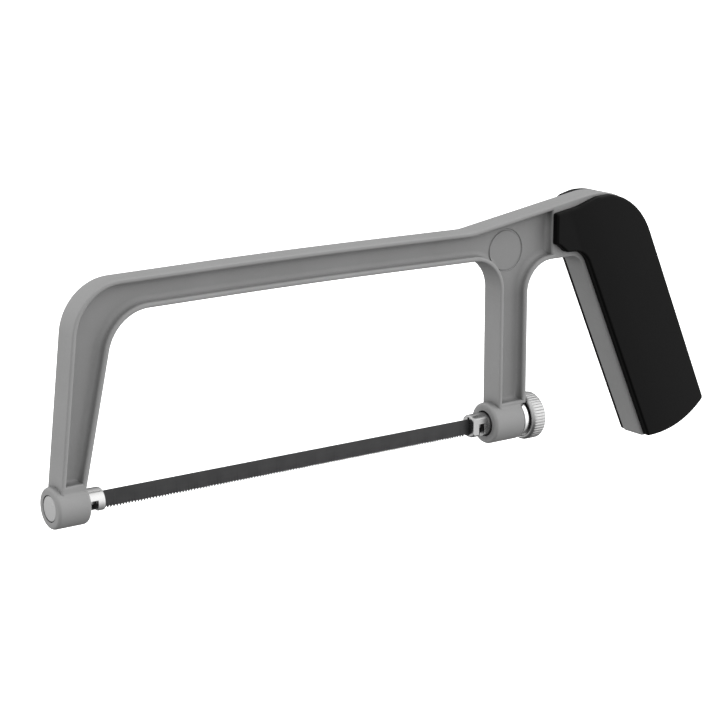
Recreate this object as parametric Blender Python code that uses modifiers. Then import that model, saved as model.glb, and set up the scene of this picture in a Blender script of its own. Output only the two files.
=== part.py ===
# Small hacksaw with a pistol grip, for 150 mm pin-end blades.
#
# Frame of the model: X runs along the blade from the front boss to the
# handle, Y across the saw (the right side of the saw is -Y), Z up.
# The profile is laid out in millimetres from the axis of the front blade
# holder: x from the front blade pin, z from the holder's axis. ORIGIN_X and
# ORIGIN_Z move it, so that the origin is under the middle of the saw, at the
# height of the handle's lowest point.
import math
import bpy
import bmesh
from mathutils import Matrix, Vector

MM = 0.001

# ---------------------------------------------------------------- dimensions
ORIGIN_X = 118.28         # middle of the saw, from the front blade pin
ORIGIN_Z = -14.57         # lowest point of the handle, from the blade axis

FRAME_T = 9.0             # thickness of the cast frame
RIM_W = 1.65              # width of the rim around the recessed web
WEB_T = 2.4               # thickness of the web
WEB_FOOT_Z = 7.2          # lower end of the recess in both legs
EDGE_R = 0.5              # rounding of the frame's edges

FRONT_LEG_FOOT_X = -12.05 # front leg's outer face, at the height of the axis
FRONT_LEG_SLOPE = 0.111   # its lean, in mm of x per mm of z
FRONT_LEG_IN_X = -4.0     # front leg's inner face, at the height of the axis
FRONT_LEG_IN_SLOPE = 0.219
TOP_Z = 67.48             # top of the bar at the front
TOP_CROWN_Z = 68.35       # top of the bar at its middle
BAR_LOW_Z = 57.68         # underside of the bar at the front
BAR_LOW_CROWN_Z = 58.33
FRONT_R_OUT = 17.2
FRONT_R_IN = 14.5

REAR_LEG_X0 = 156.1       # rear leg, throat side
REAR_LEG_X1 = 168.0       # rear leg, hand side
THROAT_R = 11.0           # throat's rear corner
RISE_X = 144.3            # where the top starts to rise to the handle
RISE_Z = 67.63
RISE_SLOPE = 0.158
ARCH_Z = 54.75             # top of the finger gap
ARCH_R = 10.5
GAP_R = 6.0               # finger gap's corner at the handle

HANDLE_FRONT_X = 215.45   # handle's front edge at the height of the axis
HANDLE_FRONT_SLOPE = -0.4525
HANDLE_REAR_X = 248.15    # handle's rear edge at the height of the axis
HANDLE_REAR_SLOPE = -0.44
CROWN_X, CROWN_Z, CROWN_R = 198.65, 50.5, 25.0  # round of the handle's top
HEEL_X, HEEL_Z = 249.95, -4.1                  # rear lower corner
TOE_X, TOE_Z = 222.05, -14.6                    # front lower corner
BUTT_R = 38.5                                   # curve of the handle's end
WEB_END_X = 178.4         # recessed web stops here, at the handle

FRONT_BOSS_R = 6.5
REAR_BOSS_R = 7.05
FRONT_BOSS_X = (-13.4, -2.25)
REAR_BOSS_X = (153.1, 165.9)
BOSS_EDGE_R = 0.9
HOLDER_R = 4.0            # radius of both blade holders
HOLDER_GAP = 0.15         # radial gap of a holder in its boss
SPOT_R = 7.6              # turned seat of the thrust washer

PIN_R = 0.8
PIN_LEN = 3.6
PIN_FRONT_X = 0.30
PIN_REAR_X = 149.60
SLOT_W = 1.05             # blade slot in both holders
BLADE_T = 0.65
BLADE_X = (-1.75, 151.6)
BLADE_TOP_Z = 2.5
BLADE_ROOT_Z = -2.6
TOOTH_H = 0.60
TOOTH_PITCH = 1.065      # 24 teeth to the inch
TEETH_X = (5.2, 145.2)

PEG_X = (-13.3, 3.95)
BOLT_X = (146.3, 156.2, 174.2)   # end, shoulder, end of the thread
BOLT_TAIL_R = 2.45
FLAT_Y = 2.9              # flats on the sides of the rear holder
FLAT_X1 = 152.3
NOTCH_TOP_Z = 0.95
FRONT_NOTCH_X = (-2.25, 1.25)
REAR_NOTCH_X = (148.65, 151.0)
REAR_SLOT_TOP_Z = 3.15    # the slot of the rear holder is closed above
PEG_FLAT_Z = -2.5         # flat underside of the front holder
PEG_FLAT_X0 = -2.35

WASHER_X = (166.2, 168.2)
WASHER_R = 6.3
NUT_X = (168.5, 174.6)
NUT_R = 8.1
NUT_TEETH = 44
NUT_DISH = (7.0, 0.8)     # radius and depth of the hollow in the nut's front face

GRIP_T = 3.1              # thickness of each grip scale
GRIP_GAP = 0.25
SCREWS = ((190.5, 66.0), (212.5, 36.5), (231.5, -2.0))   # x, z of the grip screws
POST_R = 3.0
SCREW_R = 1.45
HEAD_R = 2.7

DISC_X, DISC_Z, DISC_R = 160.3, 59.4, 7.4       # round pad at the junction
DISC_GROOVE = 0.7

# ---------------------------------------------------------------- clean slate
for ob in list(bpy.data.objects):
    bpy.data.objects.remove(ob, do_unlink=True)
for coll in list(bpy.data.collections):
    bpy.data.collections.remove(coll)

scene = bpy.context.scene
saw = bpy.data.collections.new("hacksaw")
cutters = bpy.data.collections.new("cutters")
scene.collection.children.link(saw)
scene.collection.children.link(cutters)


# ---------------------------------------------------------------- helpers
def material(name, rgb, rough, metal):
    m = bpy.data.materials.new(name)
    m.use_nodes = True
    b = m.node_tree.nodes["Principled BSDF"]
    b.inputs["Base Color"].default_value = (rgb[0], rgb[1], rgb[2], 1.0)
    b.inputs["Roughness"].default_value = rough
    b.inputs["Metallic"].default_value = metal
    m.diffuse_color = (rgb[0], rgb[1], rgb[2], 1.0)
    return m


def place(x, y, z):
    """Saw millimetres to the model's metres."""
    return Vector(((x - ORIGIN_X) * MM, y * MM, (z - ORIGIN_Z) * MM))


def rounded(corners):
    """A closed outline from corners (x, z, radius): each corner becomes an arc
    tangent to its two sides."""
    out = []
    n = len(corners)
    for i in range(n):
        x, z, r = corners[i]
        p = Vector((x, z))
        a = Vector(corners[i - 1][:2]) - p
        b = Vector(corners[(i + 1) % n][:2]) - p
        if r <= 0.0:
            out.append(p)
            continue
        a.normalize()
        b.normalize()
        half = math.acos(max(-1.0, min(1.0, a.dot(b)))) / 2.0
        cut = r / math.tan(half)
        start, end = p + a * cut, p + b * cut
        centre = p + (a + b).normalized() * (r / math.sin(half))
        t0 = math.atan2(start.y - centre.y, start.x - centre.x)
        t1 = math.atan2(end.y - centre.y, end.x - centre.x)
        sweep = (t1 - t0 + math.pi) % (2.0 * math.pi) - math.pi
        step = 7.5 if r > 3.0 else 18.0
        if r > 200.0:
            step = 0.4
        k = max(2, int(math.ceil(abs(math.degrees(sweep)) / step)))
        for j in range(k + 1):
            t = t0 + sweep * j / k
            out.append(centre + Vector((math.cos(t), math.sin(t))) * r)
    return out


def arc(p0, p1, r, k):
    """Points from p0 to p1 on an arc of radius r, bulging to the right of the
    way from p0 to p1."""
    a, b = Vector(p0), Vector(p1)
    mid, half = (a + b) / 2.0, (b - a).length / 2.0
    d = (b - a).normalized()
    left = Vector((-d.y, d.x))
    centre = mid + left * math.sqrt(r * r - half * half)
    t0 = math.atan2(a.y - centre.y, a.x - centre.x)
    t1 = math.atan2(b.y - centre.y, b.x - centre.x)
    sweep = (t1 - t0 + math.pi) % (2.0 * math.pi) - math.pi
    return [centre + Vector((math.cos(t0 + sweep * j / k), math.sin(t0 + sweep * j / k))) * r
            for j in range(k + 1)]


def inset(outline, d):
    """The outline moved inward by d, with mitred corners."""
    pts = [outline[0]]
    for p in outline[1:]:
        if (p - pts[-1]).length > 1e-4:
            pts.append(p)
    if (pts[0] - pts[-1]).length < 1e-4:
        pts.pop()
    area = sum(pts[i - 1].x * pts[i].y - pts[i].x * pts[i - 1].y for i in range(len(pts)))
    side = 1.0 if area > 0 else -1.0
    out = []
    for i in range(len(pts)):
        e0 = (pts[i] - pts[i - 1]).normalized()
        e1 = (pts[(i + 1) % len(pts)] - pts[i]).normalized()
        n0 = Vector((-e0.y, e0.x)) * side
        n1 = Vector((-e1.y, e1.x)) * side
        m = (n0 + n1).normalized()
        out.append(pts[i] + m * (d / max(0.3, m.dot(n0))))
    return out


def prism(name, outline, y0, y1, coll=None):
    """A flat outline in the XZ plane, made solid from y0 to y1: a filled 2D
    curve with an extrude, turned upright and made a mesh."""
    cu = bpy.data.curves.new(name, "CURVE")
    cu.dimensions = "2D"
    cu.fill_mode = "BOTH"
    cu.extrude = (y1 - y0) / 2.0 * MM
    clean = []
    for p in outline:
        if not clean or (Vector(p) - clean[-1]).length > 0.02:
            clean.append(Vector(p))
    if (clean[0] - clean[-1]).length < 0.02:
        clean.pop()
    sp = cu.splines.new("POLY")
    sp.points.add(len(clean) - 1)
    for i, p in enumerate(clean):
        sp.points[i].co = ((p[0] - ORIGIN_X) * MM, (p[1] - ORIGIN_Z) * MM, 0.0, 1.0)
    sp.use_cyclic_u = True
    ob = bpy.data.objects.new(name + "_curve", cu)
    (coll or saw).objects.link(ob)
    ob.matrix_world = Matrix.Translation((0.0, (y0 + y1) / 2.0 * MM, 0.0)) @ Matrix.Rotation(math.radians(90.0), 4, "X")
    bpy.context.view_layer.update()
    dg = bpy.context.evaluated_depsgraph_get()
    me = bpy.data.meshes.new_from_object(ob.evaluated_get(dg))
    mw = ob.matrix_world.copy()
    bpy.data.objects.remove(ob, do_unlink=True)
    me.transform(mw)
    bm = bmesh.new()
    bm.from_mesh(me)
    bmesh.ops.remove_doubles(bm, verts=bm.verts, dist=1e-6)
    bmesh.ops.dissolve_limit(bm, angle_limit=math.radians(0.05), verts=bm.verts,
                             edges=[e for e in bm.edges if len(e.link_faces) == 2 and
                                    e.calc_face_angle(9.0) < 0.001])
    bmesh.ops.recalc_face_normals(bm, faces=bm.faces)
    bm.to_mesh(me)
    bm.free()
    me.name = name
    new = bpy.data.objects.new(name, me)
    (coll or saw).objects.link(new)
    return new


def add_primitive(kind, name, coll=None, **kw):
    if kind == "cylinder":
        bpy.ops.mesh.primitive_cylinder_add(**kw)
    else:
        bpy.ops.mesh.primitive_cube_add(**kw)
    ob = bpy.context.active_object
    ob.name = name
    ob.data.name = name
    for c in list(ob.users_collection):
        c.objects.unlink(ob)
    (coll or saw).objects.link(ob)
    return ob


def rod_x(name, x0, x1, r, z=0.0, seg=48, coll=None):
    """A round bar along X."""
    ob = add_primitive("cylinder", name, coll, vertices=seg, radius=r * MM, depth=(x1 - x0) * MM,
                       location=place((x0 + x1) / 2.0, 0.0, z), rotation=(0.0, math.radians(90.0), 0.0))
    return ob


def rod_y(name, x, z, y0, y1, r, seg=32, coll=None):
    """A round bar along Y."""
    ob = add_primitive("cylinder", name, coll, vertices=seg, radius=r * MM, depth=(y1 - y0) * MM,
                       location=place(x, (y0 + y1) / 2.0, z), rotation=(math.radians(90.0), 0.0, 0.0))
    return ob


def block(name, x, y, z, coll=None):
    """A box given by its limits on each axis."""
    ob = add_primitive("cube", name, coll, size=1.0,
                       location=place(sum(x) / 2.0, sum(y) / 2.0, sum(z) / 2.0))
    ob.scale = ((x[1] - x[0]) * MM, (y[1] - y[0]) * MM, (z[1] - z[0]) * MM)
    bake(ob, scale_only=True)
    return ob


def turned_x(name, profile, seg=48, coll=None):
    """A turned piece with its axis along X: profile points (x, r) run along the
    outside, from the low x to the high x, and the first and last are on the
    axis."""
    me = bpy.data.meshes.new(name)
    bm = bmesh.new()
    # The Screw modifier turns about local Z, and its profile at +X runs down
    # the outer side; local -Z is the model's +X.
    vs = [bm.verts.new((r * MM, 0.0, -(x - profile[0][0]) * MM)) for x, r in profile]
    for a, b in zip(vs[:-1], vs[1:]):
        bm.edges.new((a, b))
    bm.to_mesh(me)
    bm.free()
    ob = bpy.data.objects.new(name, me)
    (coll or saw).objects.link(ob)
    mod = ob.modifiers.new("turn", "SCREW")
    mod.angle = math.radians(360.0)
    mod.steps = seg
    mod.render_steps = seg
    mod.use_merge_vertices = True
    mod.merge_threshold = 0.00001
    ob.location = place(profile[0][0], 0.0, 0.0)
    ob.rotation_euler = (0.0, math.radians(-90.0), 0.0)
    return ob


def bake(ob, scale_only=False):
    """Applies the object's scale, or its scale and modifiers."""
    bpy.context.view_layer.update()
    s = ob.scale.copy()
    if scale_only:
        ob.data.transform(Matrix.Diagonal((s.x, s.y, s.z, 1.0)))
        ob.scale = (1.0, 1.0, 1.0)
        return ob
    dg = bpy.context.evaluated_depsgraph_get()
    me = bpy.data.meshes.new_from_object(ob.evaluated_get(dg))
    ob.modifiers.clear()
    ob.data = me
    return ob


def bevel(ob, width, segments=2, angle=40.0):
    mod = ob.modifiers.new("edges", "BEVEL")
    mod.width = width * MM
    mod.segments = segments
    mod.limit_method = "ANGLE"
    mod.angle_limit = math.radians(angle)
    mod.use_clamp_overlap = True
    return mod


def boolean(ob, other, op="DIFFERENCE"):
    """Cuts or joins with a piece from the cutters' collection."""
    mod = ob.modifiers.new(op.lower() + "_" + other.name, "BOOLEAN")
    mod.operation = op
    mod.solver = "EXACT"
    mod.object = other
    other.hide_render = True
    other.display_type = "WIRE"
    return mod


def finish_piece(ob, mat, smooth=35.0):
    ob.data.materials.clear()
    ob.data.materials.append(mat)
    ob.data.shade_smooth()
    ob.data.set_sharp_from_angle(angle=math.radians(smooth))
    return ob


CAST = material("cast_grey_enamel", (0.30, 0.30, 0.295), 0.42, 0.0)
STEEL = material("bright_steel", (0.62, 0.62, 0.61), 0.28, 1.0)
PLATED = material("plated_steel", (0.66, 0.66, 0.65), 0.22, 1.0)
BLACK_STEEL = material("blackened_blade_steel", (0.035, 0.035, 0.036), 0.45, 0.3)
BLACK = material("black_moulded_plastic", (0.012, 0.012, 0.013), 0.48, 0.0)


# ---------------------------------------------------------------- outlines
def front_out(z):
    return FRONT_LEG_FOOT_X + FRONT_LEG_SLOPE * z


def front_in(z):
    return FRONT_LEG_IN_X + FRONT_LEG_IN_SLOPE * z


def rise(x):
    return RISE_Z + RISE_SLOPE * (x - RISE_X)


def handle_front(z):
    return HANDLE_FRONT_X + HANDLE_FRONT_SLOPE * z


def handle_rear(z):
    return HANDLE_REAR_X + HANDLE_REAR_SLOPE * z


def crown_corner(dx):
    """Where the rising top and the rear edge (moved by dx) would meet."""
    # z = RISE_Z + s (x - RISE_X) and x = HANDLE_REAR_X + dx + t z
    s, t = RISE_SLOPE, HANDLE_REAR_SLOPE
    x = (HANDLE_REAR_X + dx + t * (RISE_Z - s * RISE_X)) / (1.0 - t * s)
    return x, rise(x)


def arm_corners(foot_z, end=None):
    """Corners from the front leg's foot, over the bar, to the handle's front,
    and back along the rear leg and the throat. With an end, the arm stops at
    that x instead of going on into the handle."""
    c = [(front_out(foot_z), foot_z, 0.0),
         (front_out(TOP_Z), TOP_Z, FRONT_R_OUT),
         (72.0, TOP_CROWN_Z, 3000.0),
         (RISE_X, RISE_Z, 22.0)]
    if end is not None:
        c += [(end, rise(end), 0.0), (end, ARCH_Z, 0.0)]
    else:
        cx, cz = crown_corner(0.0)
        butt = arc((TOE_X, TOE_Z), (HEEL_X, HEEL_Z), BUTT_R, 7)
        c += [(cx, cz, CROWN_R), (HEEL_X, HEEL_Z, 1.2)]
        c += [(p.x, p.y, 0.0) for p in reversed(butt[1:-1])]
        c += [(TOE_X, TOE_Z, 2.2),
              (handle_front(ARCH_Z), ARCH_Z, GAP_R)]
    c += [(REAR_LEG_X1, ARCH_Z, ARCH_R),
          (REAR_LEG_X1, 30.0, 0.0),
          (REAR_LEG_X1, 13.0, 0.0),
          (REAR_LEG_X1 + 0.1, foot_z, 0.0),
          (REAR_LEG_X0, foot_z, 0.0),
          (REAR_LEG_X0, BAR_LOW_Z - 0.25, THROAT_R),
          (78.0, BAR_LOW_CROWN_Z, 3000.0),
          (front_in(BAR_LOW_Z), BAR_LOW_Z, FRONT_R_IN),
          (front_in(foot_z), foot_z, 0.0)]
    return c


def grip_outline(proud):
    """Outline of a grip scale. The front edge leaves the frame's rim bare; the
    top edge climbs to the frame's own crown, or proud of it."""
    front = 0.9 if proud > 0.0 else 1.42
    r = CROWN_R - 0.1 + proud
    c = [(WEB_END_X + 0.1, 60.2, 0.7),
         (180.1, 59.5, 0.9),
         (183.3, 56.95, 1.6),
         (handle_front(56.75) + front, 56.75, GAP_R + 1.6)]
    butt = arc((TOE_X + front - 0.05, TOE_Z + 0.25), (HEEL_X + 0.3, HEEL_Z), BUTT_R, 7)
    c += [(butt[0].x, butt[0].y, 1.0)]
    c += [(p.x, p.y, 0.0) for p in butt[1:-1]]
    c += [(butt[-1].x, butt[-1].y, 1.3)]
    # rear edge, then the crown from the rear tangent to near its top
    lean = math.atan(-HANDLE_REAR_SLOPE)
    top = 97.0 if proud > 0.0 else 80.0
    k = 11
    for j in range(k + 1):
        t = lean + (math.radians(top) - lean) * j / k
        c.append((CROWN_X + r * math.cos(t), CROWN_Z + r * math.sin(t), 0.0))
    if proud > 0.0:
        c += [(191.0, 74.6, 2.0), (186.8, 72.0, 3.0)]
    else:
        c += [(197.0, 74.75, 6.0), (188.5, 72.2, 8.0)]
    c += [(WEB_END_X + 0.1, 70.55, 0.8)]
    return rounded(c)


# ---------------------------------------------------------------- frame
H = FRAME_T / 2.0
outline = rounded(arm_corners(1.0))
frame = prism("frame", outline, -H, H)
bevel(frame, EDGE_R, 2, 50.0)
bake(frame)

# the bosses at the ends of the legs
for nm, (bx0, bx1), br in (("front_boss", FRONT_BOSS_X, FRONT_BOSS_R), ("rear_boss", REAR_BOSS_X, REAR_BOSS_R)):
    boss = rod_x(nm, bx0, bx1, br, coll=cutters)
    bevel(boss, BOSS_EDGE_R, 3, 50.0)
    bake(boss)
    boolean(frame, boss, "UNION")

# the recessed web on both sides, framed by the rim
pocket = inset(rounded(arm_corners(WEB_FOOT_Z - RIM_W, WEB_END_X + RIM_W)), RIM_W)
for nm, (y0, y1) in (("web_right", (-H - 1.0, -WEB_T / 2.0)), ("web_left", (WEB_T / 2.0, H + 1.0))):
    boolean(frame, prism(nm, pocket, y0, y1, cutters))

# round pad at the junction: a ring groove cut in the web on each side
for nm, (y0, y1) in (("pad_right", (-WEB_T / 2.0 - 0.5, -WEB_T / 2.0 + 0.3)),
                     ("pad_left", (WEB_T / 2.0 - 0.3, WEB_T / 2.0 + 0.5))):
    ring = rod_y(nm, DISC_X, DISC_Z, y0, y1, DISC_R, 48, cutters)
    core = rod_y(nm + "_core", DISC_X, DISC_Z, y0 - 0.5, y1 + 0.5, DISC_R - DISC_GROOVE, 48, cutters)
    boolean(ring, core)
    bake(ring)
    boolean(frame, ring)

# bores for the two blade holders, and the washer's turned seat
bore_r = HOLDER_R + HOLDER_GAP
boolean(frame, rod_x("front_bore", FRONT_BOSS_X[0] - 2.0, FRONT_BOSS_X[1] + 2.0, bore_r, coll=cutters))
boolean(frame, rod_x("rear_bore", REAR_BOSS_X[0] - 2.0, REAR_BOSS_X[1] + 2.0, bore_r + 0.1, coll=cutters))
boolean(frame, rod_x("washer_seat", REAR_BOSS_X[1], REAR_BOSS_X[1] + 6.0, SPOT_R, coll=cutters))

# holes for the grip's posts, and hidden relief pockets between them
for i, (sx, sz) in enumerate(SCREWS):
    boolean(frame, rod_y("post_hole_%d" % i, sx, sz, -H - 1.0, H + 1.0, POST_R + 0.3, 28, cutters))
for i in range(2):
    a, b = Vector(SCREWS[i]), Vector(SCREWS[i + 1])
    d = (b - a).normalized()
    n = Vector((-d.y, d.x))
    p, q = a + d * 9.0, b - d * 9.0
    w = 8.0
    corners = [(p + n * w), (p - n * w), (q - n * w), (q + n * w)]
    shape = rounded([(v.x, v.y, 3.5) for v in corners])
    boolean(frame, prism("relief_right_%d" % i, shape, -H - 1.0, -WEB_T / 2.0, cutters))
    boolean(frame, prism("relief_left_%d" % i, shape, WEB_T / 2.0, H + 1.0, cutters))
bake(frame)
finish_piece(frame, CAST)

# ---------------------------------------------------------------- front holder
peg = turned_x("front_holder", [(PEG_X[0], 0.0), (PEG_X[0], HOLDER_R - 0.5), (PEG_X[0] + 0.35, HOLDER_R),
                                (PEG_X[1] - 0.5, HOLDER_R), (PEG_X[1], HOLDER_R - 0.5), (PEG_X[1], 0.0)])
bake(peg)
boolean(peg, block("front_slot", (-3.9, PEG_X[1] + 1.0), (-SLOT_W / 2.0, SLOT_W / 2.0),
                   (-HOLDER_R - 1.0, BLADE_TOP_Z + 0.35), cutters))
boolean(peg, block("front_flat", (PEG_FLAT_X0, PEG_X[1] + 1.0), (-HOLDER_R - 1.0, HOLDER_R + 1.0),
                   (-HOLDER_R - 1.0, PEG_FLAT_Z), cutters))
boolean(peg, block("front_notch", FRONT_NOTCH_X, (-HOLDER_R - 1.0, HOLDER_R + 1.0),
                   (-HOLDER_R - 1.0, NOTCH_TOP_Z), cutters))
bake(peg)
finish_piece(peg, STEEL)

# ---------------------------------------------------------------- rear holder
b0, b1, b2 = BOLT_X
bolt = turned_x("tension_bolt", [(b0, 0.0), (b0, HOLDER_R - 0.55), (b0 + 0.5, HOLDER_R), (b1 - 0.3, HOLDER_R),
                                 (b1, HOLDER_R - 0.3), (b1, BOLT_TAIL_R), (b2 - 0.4, BOLT_TAIL_R),
                                 (b2, BOLT_TAIL_R - 0.4), (b2, 0.0)])
bake(bolt)
for s in (-1.0, 1.0):
    ys = sorted((s * FLAT_Y, s * (HOLDER_R + 1.0)))
    boolean(bolt, block("flat_%d" % int(s), (b0 - 1.0, FLAT_X1), ys, (-HOLDER_R - 1.0, HOLDER_R + 1.0), cutters))
boolean(bolt, block("rear_slot", (b0 - 1.0, 153.3), (-SLOT_W / 2.0, SLOT_W / 2.0),
                    (-HOLDER_R - 1.0, REAR_SLOT_TOP_Z), cutters))
boolean(bolt, block("rear_notch", REAR_NOTCH_X, (-HOLDER_R - 1.0, HOLDER_R + 1.0),
                    (-HOLDER_R - 1.0, NOTCH_TOP_Z), cutters))
bake(bolt)
finish_piece(bolt, STEEL)

# ---------------------------------------------------------------- washer, nut
washer = turned_x("thrust_washer", [(WASHER_X[0], 0.0), (WASHER_X[0], WASHER_R - 0.3), (WASHER_X[0] + 0.3, WASHER_R),
                                    (WASHER_X[1] - 0.3, WASHER_R), (WASHER_X[1], WASHER_R - 0.3), (WASHER_X[1], 0.0)])
bake(washer)
boolean(washer, rod_x("washer_hole", WASHER_X[0] - 1.0, WASHER_X[1] + 1.0, BOLT_TAIL_R + 0.3, coll=cutters))
bake(washer)
finish_piece(washer, PLATED)

# the nut's rim: axial flutes around a cylinder, trimmed by a turned form that
# leaves a smooth band on its front edge
flutes = []
for i in range(NUT_TEETH):
    t = 2.0 * math.pi * i / NUT_TEETH
    for off, r in ((-0.30, NUT_R), (0.30, NUT_R), (0.5, NUT_R - 0.35)):
        a = t + off * 2.0 * math.pi / NUT_TEETH
        flutes.append(Vector((r * math.cos(a), r * math.sin(a))))
nut = turned_x("tension_nut", [(NUT_X[0], 0.0), (NUT_X[0], NUT_R - 0.75), (NUT_X[0] + 0.7, NUT_R + 0.1),
                               (NUT_X[1] - 0.8, NUT_R + 0.1), (NUT_X[1], NUT_R - 0.9), (NUT_X[1], 0.0)], 44)
bake(nut)
knurl = prism("knurl", [Vector((p.x + ORIGIN_X, p.y + ORIGIN_Z)) for p in flutes], -5.0, 5.0, cutters)
knurl.data.transform(Matrix.Rotation(math.radians(90.0), 4, "Z"))
knurl.location = place((NUT_X[0] + NUT_X[1]) / 2.0, 0.0, 0.0)
boolean(nut, knurl, "INTERSECT")
boolean(nut, rod_x("nut_dish", NUT_X[0] - 1.0, NUT_X[0] + NUT_DISH[1], NUT_DISH[0], coll=cutters))
boolean(nut, rod_x("nut_hole", NUT_X[0] - 1.0, NUT_X[1] + 1.0, BOLT_TAIL_R + 0.1, coll=cutters))
bake(nut)
finish_piece(nut, PLATED)

# ---------------------------------------------------------------- blade
# A strip of cells, one column edge for each corner of the toothed edge:
# (x, height of the back, height of the cutting edge).
count = int(round((TEETH_X[1] - TEETH_X[0]) / TOOTH_PITCH))
end_x = TEETH_X[0] + count * TOOTH_PITCH
low = BLADE_ROOT_Z - 0.35
columns = [(BLADE_X[0], BLADE_TOP_Z - 0.6, low + 0.5), (BLADE_X[0] + 0.5, BLADE_TOP_Z, low),
           (TEETH_X[0] - 0.35, BLADE_TOP_Z, low)]
for i in range(count):
    x = TEETH_X[0] + i * TOOTH_PITCH
    # raked tooth that cuts on the push stroke, towards the front
    columns.append((x, BLADE_TOP_Z, BLADE_ROOT_Z))
    columns.append((x + 0.15, BLADE_TOP_Z, BLADE_ROOT_Z - TOOTH_H))
columns += [(end_x, BLADE_TOP_Z, BLADE_ROOT_Z), (end_x + 0.35, BLADE_TOP_Z, low),
            (BLADE_X[1] - 0.5, BLADE_TOP_Z, low), (BLADE_X[1], BLADE_TOP_Z - 0.6, low + 0.5)]
me = bpy.data.meshes.new("blade")
bm = bmesh.new()
bmesh.ops.create_grid(bm, x_segments=len(columns) - 1, y_segments=1, size=1.0)
for v in bm.verts:
    k = int(round((v.co.x + 1.0) / 2.0 * (len(columns) - 1)))
    x, up, down = columns[k]
    v.co = place(x, 0.0, up if v.co.y > 0.0 else down)
bmesh.ops.recalc_face_normals(bm, faces=bm.faces)
bm.to_mesh(me)
bm.free()
blade = bpy.data.objects.new("blade", me)
saw.objects.link(blade)
thick = blade.modifiers.new("thickness", "SOLIDIFY")
thick.thickness = BLADE_T * MM
thick.offset = 0.0
bake(blade)
for nm, px in (("front", PIN_FRONT_X), ("rear", PIN_REAR_X)):
    boolean(blade, rod_y("blade_hole_" + nm, px, 0.0, -2.0, 2.0, PIN_R + 0.06, 24, cutters))
bake(blade)
finish_piece(blade, BLACK_STEEL, 20.0)
for nm, px in (("front", PIN_FRONT_X), ("rear", PIN_REAR_X)):
    pin = rod_y("blade_pin_" + nm, px, 0.0, -PIN_LEN / 2.0, PIN_LEN / 2.0, PIN_R, 24)
    finish_piece(pin, STEEL)

# ---------------------------------------------------------------- grips
inner_y = H + GRIP_GAP
outer_y = H + GRIP_T
right = prism("right_grip", grip_outline(0.0), -outer_y, -inner_y)
bevel(right, 0.9, 3, 50.0)
bake(right)
left = prism("left_grip", grip_outline(0.45), inner_y, outer_y)
bevel(left, 0.9, 3, 50.0)
bake(left)
for i, (sx, sz) in enumerate(SCREWS):
    # the right grip's posts go through the frame and take the screws
    boolean(right, rod_y("post_%d" % i, sx, sz, -outer_y + 1.2, H - 0.1, POST_R, 28, cutters), "UNION")
    boolean(right, rod_y("post_bore_%d" % i, sx, sz, -H - 0.6, H + 1.0, SCREW_R + 0.08, 20, cutters))
    boolean(left, rod_y("screw_hole_%d" % i, sx, sz, H - 1.0, outer_y + 1.0, SCREW_R + 0.25, 20, cutters))
    boolean(left, rod_y("head_seat_%d" % i, sx, sz, outer_y - 1.9, outer_y + 1.0, HEAD_R + 0.3, 28, cutters))
bake(right)
bake(left)
finish_piece(right, BLACK)
finish_piece(left, BLACK)

for label, (sx, sz) in zip(("upper", "middle", "lower"), SCREWS):
    nm = "grip_screw_" + label
    screw = rod_y(nm, sx, sz, -H + 0.3, outer_y - 1.0, SCREW_R, 20)
    head = rod_y(nm + "_head", sx, sz, outer_y - 1.75, outer_y - 0.25, HEAD_R, 28, cutters)
    bevel(head, 0.4, 2, 50.0)
    bake(head)
    boolean(screw, head, "UNION")
    boolean(screw, block(nm + "_recess_a", (sx - 1.4, sx + 1.4), (outer_y - 1.0, outer_y + 0.5),
                         (sz - 0.3, sz + 0.3), cutters))
    boolean(screw, block(nm + "_recess_b", (sx - 0.3, sx + 0.3), (outer_y - 1.0, outer_y + 0.5),
                         (sz - 1.4, sz + 1.4), cutters))
    bake(screw)
    finish_piece(screw, PLATED)

# the nut's origin, the bolt's and the blade's lie on their joints' axes
for ob, point in ((nut, place(NUT_X[0], 0.0, 0.0)), (bolt, place(BOLT_X[0], 0.0, 0.0)),
                  (blade, place(PIN_FRONT_X, 0.0, 0.0))):
    bpy.context.view_layer.update()
    to_local = ob.matrix_world.copy()
    ob.data.transform(to_local)
    ob.matrix_world = Matrix.Identity(4)
    ob.data.transform(Matrix.Translation(-point))
    ob.location = point
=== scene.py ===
import math
import bpy
import bmesh
from mathutils import Matrix, Vector


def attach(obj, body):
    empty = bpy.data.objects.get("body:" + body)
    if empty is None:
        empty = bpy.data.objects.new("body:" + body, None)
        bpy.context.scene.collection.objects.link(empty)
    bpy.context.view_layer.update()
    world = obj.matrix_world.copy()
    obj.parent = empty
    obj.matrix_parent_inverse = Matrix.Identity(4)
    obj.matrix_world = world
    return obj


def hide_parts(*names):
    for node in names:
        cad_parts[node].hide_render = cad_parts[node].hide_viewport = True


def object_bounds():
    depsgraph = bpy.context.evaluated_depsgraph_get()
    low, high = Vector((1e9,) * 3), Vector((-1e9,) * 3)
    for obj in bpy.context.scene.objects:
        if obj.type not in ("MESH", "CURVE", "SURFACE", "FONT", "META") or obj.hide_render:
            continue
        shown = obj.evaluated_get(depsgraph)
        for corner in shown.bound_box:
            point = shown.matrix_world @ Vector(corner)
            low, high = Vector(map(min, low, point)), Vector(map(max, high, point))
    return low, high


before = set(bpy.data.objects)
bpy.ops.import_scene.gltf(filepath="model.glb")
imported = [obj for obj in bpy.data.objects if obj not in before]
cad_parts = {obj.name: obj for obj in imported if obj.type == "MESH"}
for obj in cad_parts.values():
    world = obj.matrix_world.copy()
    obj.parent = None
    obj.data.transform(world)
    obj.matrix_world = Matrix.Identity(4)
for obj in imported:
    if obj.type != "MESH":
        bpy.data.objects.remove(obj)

cad_low, cad_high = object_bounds()

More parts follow.
